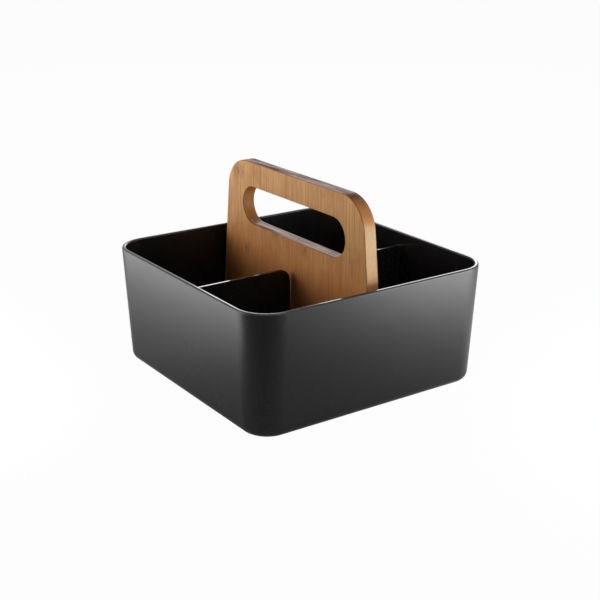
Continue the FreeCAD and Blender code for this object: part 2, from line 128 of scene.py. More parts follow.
TRAY_SIZES = {
    "Rim Half": RIM_HALF,
    "Rim Corner": 24.0 * MM,
    "Height": TRAY_TOP - FOOT_PROUD,
    "Lean": WALL_LEAN,
    "Wall": WALL,
    "Floor": TRAY_FLOOR,
    "Base Round": 6.0 * MM,
    "Rim Round": 1.1 * MM,
    "Rim Fall": 0.12 * MM,
    "Divider Drop": DIVIDER_DROP,
    "Divider Thickness": 2.0 * MM,
    "Divider Lean": math.tan(math.radians(0.4)),
    "Divider Corner": 9.0 * MM,
    "Divider Ease": 0.3 * MM,
    "Divider Crown": 0.03 * MM,
    "Divider Root": 2.4 * MM,
    "Board Thickness": BOARD_THICK,
    "Board Face Gap": 0.3 * MM,
    "Divider Gap": 1.4 * MM,
    "Channel Rib": 2.0 * MM,
    "Channel Seat": 2.0 * MM,
    "Channel Height": 8.0 * MM,
    "Channel Round": 0.4 * MM,
    "Hollow Half": 63.0 * MM,
    "Hollow Corner": 12.0 * MM,
    "Hollow Depth": HOLLOW_DEPTH,
    "Foot Offset": FOOT_OFFSET,
    "Foot Seat": 6.2 * MM,
    "Foot Sink": 1.0 * MM,
    "Screw Offset": SCREW_X,
    "Screw Head": SCREW_HEAD,
    "Screw Head Room": 0.3 * MM,
    "Screw Shank": SCREW_SHANK,
    "Screw Shank Room": 0.05 * MM,
    "Foot Proud": FOOT_PROUD,
}


# ---------------------------------------------------------------- small helpers for node trees

def put(tree, kind, **settings):
    """A new node with its settings."""
    node = tree.nodes.new(kind)
    for name, value in settings.items():
        setattr(node, name, value)
    return node


def feed(tree, socket, value):
    """Gives a socket a plain value, or links another socket to it."""
    if isinstance(value, bpy.types.NodeSocket):
        tree.links.new(value, socket)
    elif socket.type == "RGBA":
        socket.default_value = (*value, 1.0)
    else:
        socket.default_value = value


def sum_of(tree, operation, *values, clamp=False):
    """The result of one arithmetic node."""
    node = put(tree, "ShaderNodeMath", operation=operation, use_clamp=clamp)
    for socket, value in zip(node.inputs, values):
        feed(tree, socket, value)
    return node.outputs[0]


def arithmetic(tree):
    """The product, the difference and the sum of two values, ready for one tree."""
    return [partial(sum_of, tree, operation) for operation in ("MULTIPLY", "SUBTRACT", "ADD")]


def off_middle(tree, turns):
    """How far a repeating value is from the middle of its turn, up to one half."""
    return sum_of(tree, "ABSOLUTE", sum_of(tree, "SUBTRACT", sum_of(tree, "FRACT", turns), 0.5))


def mixed(tree, factor, first, second):
    """Two colours mixed by a mask."""
    node = put(tree, "ShaderNodeMix", data_type="RGBA")
    feed(tree, node.inputs["Factor"], factor)
    feed(tree, node.inputs["A"], first)
    feed(tree, node.inputs["B"], second)
    return node.outputs["Result"]


def between(tree, value, low, high, to_low=0.0, to_high=1.0, smooth=True):
    """A value's place between two ends, as another range."""
    kind = "SMOOTHSTEP" if smooth else "LINEAR"
    node = put(tree, "ShaderNodeMapRange", interpolation_type=kind)
    feed(tree, node.inputs["Value"], value)
    for name, end in (("From Min", low), ("From Max", high), ("To Min", to_low), ("To Max", to_high)):
        feed(tree, node.inputs[name], end)
    return node.outputs["Result"]


def noise(tree, vector, scale, detail=2.0, roughness=0.5, distortion=0.0):
    """Cloudy values about one half."""
    node = put(tree, "ShaderNodeTexNoise")
    feed(tree, node.inputs["Vector"], vector)
    for name, value in (("Scale", scale), ("Detail", detail), ("Roughness", roughness),
                        ("Distortion", distortion)):
        feed(tree, node.inputs[name], value)
    return node.outputs["Fac"]


def scaled(tree, vector, x, y, z):
    """A position with each axis drawn out or pressed together."""
    node = put(tree, "ShaderNodeVectorMath", operation="MULTIPLY")
    feed(tree, node.inputs[0], vector)
    node.inputs[1].default_value = (x, y, z)
    return node.outputs["Vector"]


def parts_of(tree, vector):
    """The three parts of a vector."""
    node = put(tree, "ShaderNodeSeparateXYZ")
    feed(tree, node.inputs[0], vector)
    return node.outputs[0], node.outputs[1], node.outputs[2]


def spot_at(tree, x, y, z=0.0):
    """A place from three sizes."""
    node = put(tree, "ShaderNodeCombineXYZ")
    for socket, value in zip(node.inputs, (x, y, z)):
        feed(tree, socket, value)
    return node.outputs[0]


def new_group(name, inputs, outputs):
    """An empty shader group: each input is (name, kind, default), each output (name, kind)."""
    group = bpy.data.node_groups.new(name, "ShaderNodeTree")
    for label, kind, default in inputs:
        socket = group.interface.new_socket(label, in_out="INPUT", socket_type="NodeSocket" + kind)
        if default is not None:
            socket.default_value = default
    for label, kind in outputs:
        group.interface.new_socket(label, in_out="OUTPUT", socket_type="NodeSocket" + kind)
    return group, group.nodes.new("NodeGroupInput"), group.nodes.new("NodeGroupOutput")


def use(tree, group, **values):
    """One group placed in a material. Underscores in the names stand for spaces."""
    node = put(tree, "ShaderNodeGroup", node_tree=group)
    for name, value in values.items():
        feed(tree, node.inputs[name.replace("_", " ")], value)
    return node


def surface_normal(tree):
    """The way the surface faces, along the piece's own axes."""
    return put(tree, "ShaderNodeTexCoord").outputs["Normal"]


def new_material(name):
    """A material with its tree, its shader, and the position on the caddy in millimetres."""
    material = bpy.data.materials.new(name)
    material.use_nodes = True
    tree = material.node_tree
    place = scaled(tree, put(tree, "ShaderNodeTexCoord").outputs["Object"], 1 / MM, 1 / MM, 1 / MM)
    return material, tree, tree.nodes["Principled BSDF"], place


def raise_surface(tree, shader, height, strength):
    """Lets a height in millimetres bend the light on the surface."""
    bump = put(tree, "ShaderNodeBump")
    bump.inputs["Strength"].default_value = strength
    bump.inputs["Distance"].default_value = MM
    feed(tree, bump.inputs["Height"], height)
    feed(tree, shader.inputs["Normal"], bump.outputs["Normal"])


# ---------------------------------------------------------------- camera, light and floor

def place_camera():
    """A long lens, a little above the rim, looking at the tray's near corner."""
    spot = Vector((0.660445, -0.456924, 0.338390))
    target = Vector((0.00445, 0.0, 0.05429))
    roll = math.radians(0.15)
    ahead = (target - spot).normalized()
    right = ahead.cross(Vector((0, 0, 1))).normalized()
    up = right.cross(ahead)
    level = math.cos(roll) * right + math.sin(roll) * up
    crown = math.cos(roll) * up - math.sin(roll) * right
    data = bpy.data.cameras.new("long_lens")
    data.sensor_width = 36.0
    data.lens = 69.19
    data.clip_end = 20.0
    camera = bpy.data.objects.new("long_lens", data)
    turn = Matrix((level, crown, -ahead)).transposed().to_4x4()
    camera.matrix_world = Matrix.Translation(spot) @ turn
    scene.collection.objects.link(camera)
    scene.camera = camera


def soft_lamp(name, spot, target, width, height, power, spread=180.0):
    """A rectangular softbox that faces a point. A grid narrows its spread, in degrees."""
    data = bpy.data.lights.new(name, "AREA")
    data.shape = "RECTANGLE"
    data.size = width
    data.size_y = height
    data.energy = power
    data.spread = math.radians(spread)
    lamp = bpy.data.objects.new(name, data)
    lamp.location = spot
    aim = Vector(target) - Vector(spot)
    lamp.rotation_euler = aim.to_track_quat("-Z", "Y").to_euler()
    lamp.visible_camera = False
    scene.collection.objects.link(lamp)


def backdrop_rays(tree, for_eye, for_gloss):
    """How much of the plain white backdrop a ray meets: seen directly or through glass, or mirrored."""
    path = put(tree, "ShaderNodeLightPath").outputs
    direct = sum_of(tree, "MAXIMUM", path["Is Camera Ray"], path["Is Transmission Ray"])
    eye = sum_of(tree, "MULTIPLY", direct, for_eye)
    gloss = sum_of(tree, "MULTIPLY", path["Is Glossy Ray"], for_gloss)
    return sum_of(tree, "MAXIMUM", eye, gloss)


def light_studio():
    """A white room that lights next to nothing by itself, and softboxes on all sides of the caddy."""
    world = bpy.data.worlds.new("white_room")
    world.use_nodes = True
    tree = world.node_tree
    back = tree.nodes["Background"]
    feed(tree, back.inputs["Color"], (1.0, 1.0, 1.0))
    level = between(tree, backdrop_rays(tree, 1.0, 1.0), 0.0, 1.0, ROOM_FILL, 1.0, smooth=False)
    feed(tree, back.inputs["Strength"], level)
    scene.world = world
    soft_lamp("front_box", (-0.30, -0.75, 0.30), (0.0, 0.0, 0.22), 0.60, 0.40, 0.49, spread=60.0)
    soft_lamp("left_strip", (-0.32, -0.29, 0.06), (-0.32, 0.0, 0.06), 0.60, 0.10, 0.22)
    soft_lamp("left_bank", (-0.60, -0.55, 0.25), (-0.30, 0.0, 0.06), 1.00, 0.20, 0.80)
    soft_lamp("left_wash", (-0.27, -0.27, 0.07), (-0.27, -0.27, 0.0), 0.50, 0.10, 1.03, spread=155.0)
    soft_lamp("far_left_wash", (-0.45, -0.40, 0.16), (-0.45, -0.40, 0.0), 0.70, 0.30, 0.42)
    soft_lamp("right_wash", (0.30, 0.36, 0.10), (0.30, 0.36, 0.0), 0.16, 0.46, 2.15, spread=163.0)
    soft_lamp("right_strip", (0.34, 0.36, 0.06), (0.0, 0.36, 0.06), 0.40, 0.10, 1.58)
    soft_lamp("right_bank", (0.38, 0.48, 0.24), (0.0, 0.40, 0.06), 0.50, 0.12, 0.52)
    soft_lamp("back_bank", (-1.13, 0.92, 0.62), (0.0, 0.0, 0.08), 0.71, 0.38, 3.9)
    soft_lamp("high_right", (0.70, 0.12, 0.42), (0.0, 0.0, 0.12), 0.40, 0.30, 0.85)


def lay_floor():
    """A wide pale sheet under the caddy, which takes its shadow. Seen directly it is nearly pure white."""
    reach = 6.0
    corners = [(-reach, -reach, 0), (reach, -reach, 0), (reach, reach, 0), (-reach, reach, 0)]
    mesh = bpy.data.meshes.new("studio_floor")
    mesh.from_pydata(corners, [], [(0, 1, 2, 3)])
    floor = bpy.data.objects.new("studio_floor", mesh)
    scene.collection.objects.link(floor)
    material = bpy.data.materials.new("white_floor")
    material.use_nodes = True
    tree = material.node_tree
    tree.nodes.clear()
    paper = put(tree, "ShaderNodeBsdfDiffuse")
    feed(tree, paper.inputs["Color"], (0.9, 0.9, 0.9))
    glow = put(tree, "ShaderNodeEmission")
    pale = put(tree, "ShaderNodeMixShader")
    result = put(tree, "ShaderNodeOutputMaterial")
    seen_glow = 0.97
    mirrored_glow = 0.03
    parts = (backdrop_rays(tree, seen_glow, mirrored_glow), paper.outputs[0], glow.outputs[0])
    for socket, value in zip(pale.inputs, parts):
        feed(tree, socket, value)
    feed(tree, result.inputs["Surface"], pale.outputs[0])
    mesh.materials.append(material)


# ---------------------------------------------------------------- effects that several finishes share

def make_handling_group():
    """Traces of use: soft clouds of handling, sparse specks of dust, and fine straight scuffs."""
    group, taken, given = new_group(
        "handling",
        [("Place", "Vector", None), ("Cloud Size", "Float", 30.0), ("Speck Size", "Float", 1.0),
         ("Scuff Length", "Float", 20.0)],
        [("Clouds", "Float"), ("Specks", "Float"), ("Scuffs", "Float")])
    place = taken.outputs["Place"]
    cloud_scale = sum_of(group, "DIVIDE", 1.0, taken.outputs["Cloud Size"])
    clouds = between(group, noise(group, place, cloud_scale, 3.0, 0.55), 0.35, 0.7)
    speck_scale = sum_of(group, "DIVIDE", 1.0, taken.outputs["Speck Size"])
    cells = put(group, "ShaderNodeTexVoronoi")
    feed(group, cells.inputs["Vector"], place)
    feed(group, cells.inputs["Scale"], speck_scale)
    near = between(group, cells.outputs["Distance"], 0.06, 0.16, 1.0, 0.0)
    chosen = between(group, parts_of(group, cells.outputs["Color"])[0], 0.90, 0.94)
    specks = sum_of(group, "MULTIPLY", near, chosen)
    scuff_scale = sum_of(group, "DIVIDE", 4.0, taken.outputs["Scuff Length"])
    turned = put(group, "ShaderNodeVectorRotate", rotation_type="EULER_XYZ")
    turned.inputs["Rotation"].default_value = (0.5, 0.9, 0.4)
    feed(group, turned.inputs["Vector"], place)
    drawn = scaled(group, turned.outputs["Vector"], 1.0, 14.0, 1.0)
    lines = between(group, noise(group, drawn, scuff_scale, 2.0, 0.6), 0.64, 0.72)
    scuffs = sum_of(group, "MULTIPLY", lines, clouds)
    for name, value in (("Clouds", clouds), ("Specks", specks), ("Scuffs", scuffs)):
        feed(group, given.inputs[name], value)
    return group


def make_edge_group():
    """The edges of an upright board: where its surface turns from its flat faces to its sides."""
    group, taken, given = new_group(
        "turned_edges", [("Normal", "Vector", None), ("Reach", "Float", 0.5)], [("Edge", "Float")])
    facing = sum_of(group, "ABSOLUTE", parts_of(group, taken.outputs["Normal"])[1])
    start = sum_of(group, "SUBTRACT", 1.0, taken.outputs["Reach"])
    rising = between(group, facing, 0.06, 0.25)
    falling = between(group, facing, start, 0.999, 1.0, 0.0)
    feed(group, given.inputs["Edge"], sum_of(group, "MULTIPLY", rising, falling))
    return group


# ---------------------------------------------------------------- finishes

def make_black_plastic(handling):
    """Satin black moulding: an even eggshell grain, faint clouds, a rim polished by hands."""
    material, tree, shader, place = new_material("moulded_black_plastic")
    times, less, plus = arithmetic(tree)
    marks = use(tree, handling, Place=place, Cloud_Size=38.0, Speck_Size=2.2, Scuff_Length=26.0).outputs
    height = parts_of(tree, place)[2]
    crest = (TRAY_TOP - DIVIDER_DROP) / MM
    from_crest = between(tree, height, crest - 1.4, crest - 1.0)
    facing_up = between(tree, parts_of(tree, surface_normal(tree))[2], 0.15, 0.55)
    polish = times(from_crest, facing_up)
    near_foot = between(tree, height, 0.0, 14.0, 1.0, 0.0)
    worn = times(marks["Scuffs"], plus(times(near_foot, 0.5), 0.25))
    flow = noise(tree, scaled(tree, place, 0.03, 0.03, 0.008), 1.0, 3.0, 0.5)
    black = mixed(tree, flow, (0.0100, 0.0102, 0.0106), (0.0130, 0.0132, 0.0136))
    scuffed = mixed(tree, worn, black, (0.035, 0.035, 0.035))
    dusted = mixed(tree, times(marks["Specks"], 0.35), scuffed, (0.12, 0.115, 0.11))
    feed(tree, shader.inputs["Base Color"], dusted)
    satin = between(tree, marks["Clouds"], 0.0, 1.0, 0.23, 0.27, smooth=False)
    polished = less(satin, times(polish, 0.17))
    feed(tree, shader.inputs["Roughness"], plus(polished, times(worn, 0.15), clamp=True))
    shader.inputs["Specular IOR Level"].default_value = 0.4
    eggshell = noise(tree, place, 2.6, 2.0, 0.5)
    ripple = noise(tree, place, 0.09, 1.0, 0.4)
    raise_surface(tree, shader, plus(times(eggshell, 0.012), times(ripple, 0.10)), 0.6)
    return material


def bamboo_face(tree, place):
    """The flat faces of the board: their colour, and the masks of fibres, seams and knuckles."""
    times, _, plus = arithmetic(tree)
    x, y, z = parts_of(tree, place)

    # Each strip of each layer has its own tone, and its own place and chance of a knuckle.
    slack = times(noise(tree, scaled(tree, place, 0.0, 0.0, 0.02), 1.0), 0.5)
    across = plus(sum_of(tree, "DIVIDE", x, STRIP_WIDTH), slack)
    strip = plus(sum_of(tree, "FLOOR", across), MIDDLE_STRIP)
    layer = sum_of(tree, "FLOOR", sum_of(tree, "DIVIDE", y, LAYER_THICK))
    lot = put(tree, "ShaderNodeTexWhiteNoise", noise_dimensions="2D")
    feed(tree, lot.inputs["Vector"], spot_at(tree, strip, layer))
    tone = lot.outputs["Value"]
    shift, chance, _ = parts_of(tree, lot.outputs["Color"])

    # Fibres, broad bands, clouds, a redder and darker lower half that is painted shade deeper in the tray,
    # fine dark lines and the seams of the strips.
    fibres = noise(tree, scaled(tree, place, 1.75, 1.75, 0.018), 1.0, 4.0, 0.62)
    bands = noise(tree, scaled(tree, place, 0.28, 0.28, 0.006), 1.0, 2.0, 0.5)
    fine = noise(tree, scaled(tree, place, 3.1, 3.1, 0.03), 1.0, 2.0, 0.6)
    straw = mixed(tree, between(tree, fibres, 0.30, 0.70), (0.50, 0.222, 0.068), (0.77, 0.440, 0.170))
    banded = mixed(tree, between(tree, bands, 0.35, 0.65, 0.0, 0.32), straw, (0.62, 0.305, 0.105))
    toned = mixed(tree, times(tone, 0.30), banded, (0.82, 0.480, 0.200))
    patches = noise(tree, scaled(tree, place, 0.05, 0.05, 0.035), 1.0, 3.0, 0.6, 0.6)
    patched = mixed(tree, between(tree, patches, 0.42, 0.66, 0.0, 0.30), toned, (0.34, 0.120, 0.030))
    # Painted shade: the board turns redder and darker low down, where the tray's walls shade it.
    painted_low_shade = mixed(tree, between(tree, z, 65.0, 118.0, 0.62, 0.0), patched, (0.62, 0.178, 0.044))
    lined = mixed(tree, between(tree, fine, 0.50, 0.62, 0.0, 0.55), painted_low_shade, (0.36, 0.115, 0.028))
    seams = between(tree, off_middle(tree, across), 0.475, 0.5, 0.0, 0.32)
    seamed = mixed(tree, seams, lined, (0.22, 0.10, 0.035))

    # Knuckles, as short upright dashes.
    from_knuckle = off_middle(tree, plus(sum_of(tree, "DIVIDE", z, KNUCKLE_PITCH), shift))
    knuckle = between(tree, from_knuckle, 0.008, 0.075, 1.0, 0.0)
    has_knuckle = between(tree, chance, 0.52, 0.60)
    dashes = between(tree, noise(tree, scaled(tree, place, 1.5, 1.5, 0.22), 1.0, 2.0, 0.6), 0.42, 0.66)
    knuckles = times(times(knuckle, has_knuckle), plus(times(dashes, 0.75), 0.15))
    return mixed(tree, knuckles, seamed, (0.24, 0.105, 0.045)), fibres, seams, knuckles


def bamboo_sides(tree, place, normal, face):
    """The board's colour with its cut sides, and the masks of its end grain and the streaks in it."""
    times = partial(sum_of, tree, "MULTIPLY")
    x, _, z = parts_of(tree, place)
    sideward, _, upward = parts_of(tree, normal)
    upward = sum_of(tree, "ABSOLUTE", upward)
    sideward = sum_of(tree, "ABSOLUTE", sideward)
    end = between(tree, upward, 0.86, 0.985)
    end_bend = between(tree, upward, 0.20, 0.60)
    side = between(tree, sideward, 0.90, 0.985)
    side_bend = between(tree, sideward, 0.20, 0.60)

    # End grain, on the board's top and inside its hole; low in the hole it is painted a pale pinkish grey, a
    # painted reflection of the white room.
    pores = noise(tree, scaled(tree, place, 0.02, 0.85, 0.02), 1.0, 3.0, 0.6)
    streaks = between(tree, pores, 0.43, 0.57)
    streaked = mixed(tree, streaks, (0.13, 0.034, 0.018), (0.34, 0.150, 0.075))
    dots = noise(tree, scaled(tree, place, 2.6, 3.4, 0.2), 1.0, 2.0, 0.6)
    dotted = mixed(tree, between(tree, dots, 0.55, 0.68, 0.0, 0.4), streaked, (0.05, 0.015, 0.01))
    in_hole = between(tree, z, 118.0, 136.0, 0.85, 0.0)
    # Painted reflection: pale pinkish grey on the end grain low in the hand hole.
    painted_hole_reflection = times(in_hole, between(tree, streaks, 0.0, 1.0, 0.40, 1.0))
    end_grain = mixed(tree, painted_hole_reflection, dotted, (0.62, 0.44, 0.36))

    # Sides: darker inside the hole as painted shade, golden on the outside and more so higher up as painted
    # light, browner where they turn up, partly as painted light.
    hole_end = 68.0
    outer_side = 74.0
    reach = sum_of(tree, "ABSOLUTE", x)
    # Painted shade: the hole's inner sides are darkened.
    hole_side_shade = times(side_bend, between(tree, reach, hole_end, outer_side, 0.30, 0.0))
    shaded_hole_sides = mixed(tree, hole_side_shade, face, (0.32, 0.105, 0.026))
    outer = times(side, between(tree, reach, hole_end, outer_side))
    # Painted light: the outer sides grow more golden above the tray's rim, where light falls on them.
    golden_and_lit_above = times(outer, between(tree, z, 84.0, 106.0, 0.12, 0.55))
    golden = mixed(tree, golden_and_lit_above, shaded_hole_sides, (0.62, 0.48, 0.27))
    # Partly painted light: the bends are browner and redder, standing in for light on them as well as for the
    # grain turning.
    turning = mixed(tree, times(end_bend, 0.55), golden, (0.52, 0.165, 0.036))
    return mixed(tree, end, turning, end_grain), end, streaks


def make_bamboo(handling, edges):
    """Laminated bamboo under a clear lacquer: upright fibres, narrow strips, knuckles, end grain.

    Limits on x and z are in millimetres from the middle of the board and from the table.
    """
    material, tree, shader, place = new_material("lacquered_bamboo")
    times, less, plus = arithmetic(tree)
    normal = surface_normal(tree)
    face, fibres, seams, knuckles = bamboo_face(tree, place)
    cut, end, streaks = bamboo_sides(tree, place, normal, face)

    # Eased edges are darker, and hands have left their marks.
    edge = use(tree, edges, Normal=normal, Reach=0.35).outputs["Edge"]
    darkened = mixed(tree, times(edge, 0.60), cut, (0.17, 0.052, 0.014))
    marks = use(tree, handling, Place=place, Cloud_Size=26.0, Speck_Size=1.6, Scuff_Length=14.0).outputs
    handled = mixed(tree, times(marks["Clouds"], 0.10), darkened, (0.40, 0.20, 0.07))
    feed(tree, shader.inputs["Base Color"], handled)

    # How it shines, and the relief of its fibres, seams and knuckles.
    sanded = between(tree, fibres, 0.3, 0.7, 0.56, 0.48, smooth=False)
    open_ended = plus(sanded, times(end, between(tree, streaks, 0.0, 1.0, 0.30, 0.12)))
    feed(tree, shader.inputs["Roughness"], plus(open_ended, times(marks["Scuffs"], 0.10), clamp=True))
    shader.inputs["Specular IOR Level"].default_value = 0.18
    feed(tree, shader.inputs["Coat Weight"], times(end, times(streaks, 0.25)))
    shader.inputs["Coat Roughness"].default_value = 0.24
    relief = plus(times(fibres, 0.03), times(less(1.0, seams), 0.05))
    raise_surface(tree, shader, plus(relief, times(knuckles, 0.03)), 0.7)
    return material


def make_screw_steel(handling):
    """Bright zinc plating on turned steel: rings about each screw, and dull spots."""
    material, tree, shader, place = new_material("plated_steel")
    times, less, plus = arithmetic(tree)
    x, y, _ = parts_of(tree, place)
    off = less(sum_of(tree, "ABSOLUTE", x), SCREW_X / MM)
    reach = sum_of(tree, "SQRT", plus(times(off, off), times(y, y)))
    radians_per_mm = 24.0
    rings = sum_of(tree, "SINE", times(reach, radians_per_mm))
    marks = use(tree, handling, Place=place, Cloud_Size=4.0, Speck_Size=0.5, Scuff_Length=3.0).outputs
    tone = mixed(tree, marks["Clouds"], (0.62, 0.62, 0.60), (0.50, 0.49, 0.44))
    feed(tree, shader.inputs["Base Color"], mixed(tree, marks["Specks"], tone, (0.22, 0.19, 0.15)))
    shader.inputs["Metallic"].default_value = 1.0
    feed(tree, shader.inputs["Roughness"], between(tree, marks["Clouds"], 0.0, 1.0, 0.24, 0.42))
    raise_surface(tree, shader, times(rings, 0.01), 0.5)
    return material


def make_foot_rubber(handling):
    """Matt black rubber that has picked up dust where it meets the table."""
    material, tree, shader, place = new_material("foot_rubber")
    marks = use(tree, handling, Place=place, Cloud_Size=5.0, Speck_Size=0.7, Scuff_Length=4.0).outputs
    sole = between(tree, parts_of(tree, place)[2], 0.0, 0.5, 1.0, 0.0)
    dusty = sum_of(tree, "MULTIPLY", sole, sum_of(tree, "ADD", marks["Clouds"], 0.3), clamp=True)
    base = mixed(tree, sum_of(tree, "MULTIPLY", dusty, 0.35), (0.018, 0.018, 0.018), (0.10, 0.098, 0.092))
    feed(tree, shader.inputs["Base Color"], mixed(tree, marks["Specks"], base, (0.16, 0.155, 0.15)))
    feed(tree, shader.inputs["Roughness"], between(tree, marks["Clouds"], 0.0, 1.0, 0.70, 0.85))
    grain = noise(tree, place, 5.0, 2.0, 0.6)
    raise_surface(tree, shader, sum_of(tree, "MULTIPLY", grain, 0.03), 0.8)
    return material


# ---------------------------------------------------------------- shapes grown by geometry nodes

def step(tree, kind, settings=None, **inputs):
    """One geometry node with its settings and, by name, its inputs."""
    node = put(tree, "GeometryNode" + kind, **(settings or {}))
    for name, value in inputs.items():
        feed(tree, node.inputs[name.replace("_", " ")], value)
    return node


def new_shape(name, *sizes):
    """An empty geometry tree with a named length for each size, and its sockets by name."""
    tree = bpy.data.node_groups.new(name, "GeometryNodeTree")
    for label, kind in sizes:
        tree.interface.new_socket(label, in_out="INPUT", socket_type="NodeSocket" + kind)
    tree.interface.new_socket("Mesh", in_out="OUTPUT", socket_type="NodeSocketGeometry")
    taken = tree.nodes.new("NodeGroupInput")
    return tree, {socket.name: socket for socket in taken.outputs if socket.name}


def give(tree, mesh):
    """Ends a tree with its mesh."""
    given = tree.nodes.new("NodeGroupOutput")
    tree.links.new(mesh, given.inputs["Mesh"])


def by_index(tree, kind, values):
    """A field that has one value for each point, in order."""
    node = step(tree, "IndexSwitch", {"data_type": kind})
    while len(node.index_switch_items) < len(values):
        node.index_switch_items.new()
    tree.links.new(put(tree, "GeometryNodeInputIndex").outputs[0], node.inputs["Index"])
    for number, value in enumerate(values):
        feed(tree, node.inputs[str(number)], value)
    return node.outputs["Output"]


def own_place(tree):
    """The x, y and z of each corner of a mesh."""
    return parts_of(tree, put(tree, "GeometryNodeInputPosition").outputs[0])


def moved(tree, mesh, spots):
    """A mesh or curve with each of its corners set to its own new spot."""
    return step(tree, "SetPosition", Geometry=mesh, Position=spots).outputs["Geometry"]


def placed(tree, mesh, spot=(0.0, 0.0, 0.0), turn=(0.0, 0.0, 0.0), scale=(1.0, 1.0, 1.0)):
    """A mesh turned and then moved."""
    node = step(tree, "Transform", Geometry=mesh, Translation=spot, Scale=scale)
    node.inputs["Rotation"].default_value = turn
    return node.outputs["Geometry"]


def filleted(tree, curve, pieces, radius):
    """A run of straight lines with its corners rounded, each in some pieces."""
    return step(tree, "FilletCurve", {"mode": "POLY"}, Curve=curve, Count=pieces, Radius=radius,
                Limit_Radius=True).outputs["Curve"]


def rounded_run(tree, corners, pieces, closed):
    """Straight runs from corner to corner, each corner (x, y, radius), rounded in some pieces."""
    line = step(tree, "MeshLine", Count=len(corners)).outputs["Mesh"]
    curve = step(tree, "MeshToCurve", Mesh=line).outputs["Curve"]
    run = moved(tree, curve, by_index(tree, "VECTOR", [spot_at(tree, x, y) for x, y, _ in corners]))
    looped = step(tree, "SetSplineCyclic", Geometry=run, Cyclic=closed).outputs["Geometry"]
    return filleted(tree, looped, pieces, by_index(tree, "FLOAT", [radius for _, _, radius in corners]))


def rounded_square(tree, half, corner, pieces):
    """A square outline about the origin, anticlockwise, with rounded corners."""
    side = sum_of(tree, "MULTIPLY", half, 2.0)
    square = step(tree, "CurvePrimitiveQuadrilateral", Width=side, Height=side).outputs["Curve"]
    return filleted(tree, square, pieces, corner)


def swept(tree, path, section):
    """A section carried round a level path. Its x points away from the middle, its y down."""
    upright = step(tree, "SetCurveNormal", {"mode": "Z_UP"}, Curve=path).outputs["Curve"]
    return step(tree, "CurveToMesh", Curve=upright, Profile_Curve=section).outputs["Mesh"]


def capped(tree, mesh, level, split, low_side):
    """The flat face that closes the open ring above or below a split, laid at its own level."""
    count = put(tree, "GeometryNodeInputMeshEdgeNeighbors").outputs["Face Count"]
    is_open = sum_of(tree, "COMPARE", count, 1.0, 0.1)
    height = own_place(tree)[2]
    beyond = sum_of(tree, "LESS_THAN" if low_side else "GREATER_THAN", height, split)
    chosen = sum_of(tree, "MULTIPLY", is_open, beyond)
    ring = step(tree, "MeshToCurve", Mesh=mesh, Selection=chosen).outputs["Curve"]
    face = step(tree, "FillCurve", {"mode": "TRIANGLES"}, Curve=ring).outputs["Mesh"]
    if low_side:
        face = step(tree, "FlipFaces", Mesh=face).outputs["Mesh"]
    return placed(tree, face, spot=spot_at(tree, 0.0, 0.0, level))


def joined(tree, *meshes):
    """Meshes in one, with the corners that meet made one."""
    node = step(tree, "JoinGeometry")
    for mesh in reversed(meshes):
        tree.links.new(mesh, node.inputs["Geometry"])
    hair = 0.0005 * MM
    return step(tree, "MergeByDistance", Geometry=node.outputs[0], Distance=hair).outputs[0]


def make_plate_shape():
    """A plate of any outline, lying level about the origin, with its edges rounded and its holes open."""
    tree, sizes = new_shape("eased_plate", ("Outline", "Geometry"), ("Thickness", "Float"), ("Ease", "Float"),
                            ("Crown", "Float"))
    half = sum_of(tree, "DIVIDE", sizes["Thickness"], 2.0)
    under = sum_of(tree, "MULTIPLY", half, -1.0)
    ease = sizes["Ease"]
    back = sum_of(tree, "MULTIPLY", ease, -1.0)
    corners = [(back, under, 0.0), (0.0, under, ease), (sizes["Crown"], 0.0, 0.0), (0.0, half, ease),
               (back, half, 0.0)]
    wall = swept(tree, sizes["Outline"], rounded_run(tree, corners, pieces=5, closed=False))
    top = capped(tree, wall, half, 0.0, low_side=False)
    bottom = capped(tree, wall, under, 0.0, low_side=True)
    give(tree, joined(tree, wall, top, bottom))
    return tree


def plate(tree, shape, outline, thickness, ease, crown=0.0):
    """One eased plate in another tree."""
    node = put(tree, "GeometryNodeGroup", node_tree=shape)
    for name, value in (("Outline", outline), ("Thickness", thickness), ("Ease", ease), ("Crown", crown)):
        feed(tree, node.inputs[name], value)
    return node.outputs["Mesh"]


def fused(tree, *meshes):
    """The one skin round meshes that overlap."""
    node = step(tree, "MeshBoolean", {"operation": "UNION", "solver": "EXACT"})
    for mesh in reversed(meshes):
        tree.links.new(mesh, node.inputs["Mesh 2"])
    return node.outputs["Mesh"]


def cut_away(tree, mesh, *tools):
    """A mesh less what the tools take out of it."""
    node = step(tree, "MeshBoolean", {"operation": "DIFFERENCE", "solver": "EXACT"}, Mesh_1=mesh)
    for tool in tools:
        tree.links.new(tool, node.inputs["Mesh 2"])
    return node.outputs["Mesh"]


def copies_at(tree, points, mesh):
    """The same mesh at each point, as real mesh."""
    node = step(tree, "InstanceOnPoints", Points=points, Instance=mesh)
    return step(tree, "RealizeInstances", Geometry=node.outputs["Instances"]).outputs["Geometry"]


def foot_spots(tree, offset):
    """The places of the four feet, at the corners of a square."""
    apart = sum_of(tree, "MULTIPLY", offset, 2.0)
    return step(tree, "MeshGrid", Size_X=apart, Size_Y=apart, Vertices_X=2, Vertices_Y=2).outputs["Mesh"]


def screw_spots(tree, offset, level):
    """The places of the two screws, left and right, at a level."""
    first = spot_at(tree, sum_of(tree, "MULTIPLY", offset, -1.0), 0.0, level)
    stride = spot_at(tree, sum_of(tree, "MULTIPLY", offset, 2.0), 0.0)
    return step(tree, "MeshLine", {"mode": "OFFSET"}, Count=2, Start_Location=first,
                Offset=stride).outputs["Mesh"]


def finish_tree(tree, mesh, material):
    """The end of a piece's tree: real mesh, smooth shading and its finish."""
    real = step(tree, "RealizeInstances", Geometry=mesh).outputs["Geometry"]
    smooth = step(tree, "SetShadeSmooth", Geometry=real).outputs["Geometry"]
    give(tree, step(tree, "SetMaterial", Geometry=smooth, Material=material).outputs["Geometry"])


